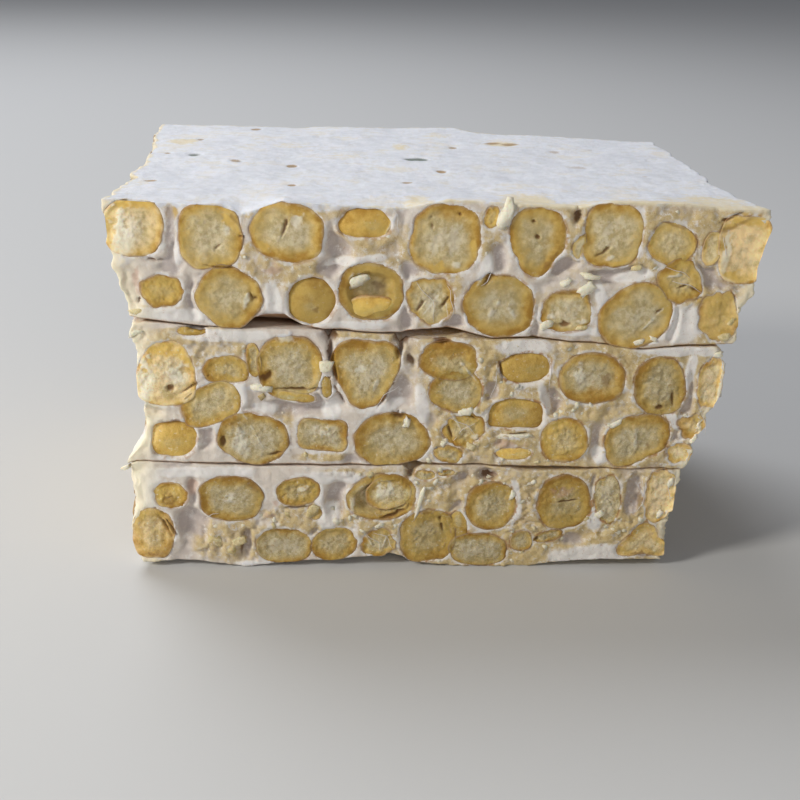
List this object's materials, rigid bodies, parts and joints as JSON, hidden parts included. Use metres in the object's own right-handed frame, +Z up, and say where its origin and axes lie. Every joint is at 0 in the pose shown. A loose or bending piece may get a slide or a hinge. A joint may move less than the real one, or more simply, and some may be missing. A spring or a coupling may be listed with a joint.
{
  "type": "tempeh cake",
  "caption": "Stack of thick tempeh slabs: whole soybeans bound in white mycelium, cut faces showing the beans, under a smooth white skin.",
  "frame": {"origin": "middle of the base that the stack rests on", "axes": "+X along the long cut front, +Y from the front cut face to the back, +Z up"},
  "size_m": [0.0957, 0.0665, 0.0589],
  "materials": {
    "mycelium": "soft matt white mould skin over cut bean",
    "soybean": "cooked bean, satin golden rim and grainy pale core"
  },
  "bodies": {
    "root": {"slab_bottom": "mycelium", "slab_middle": "mycelium", "slab_top": "mycelium"}
  },
  "joints": []
}
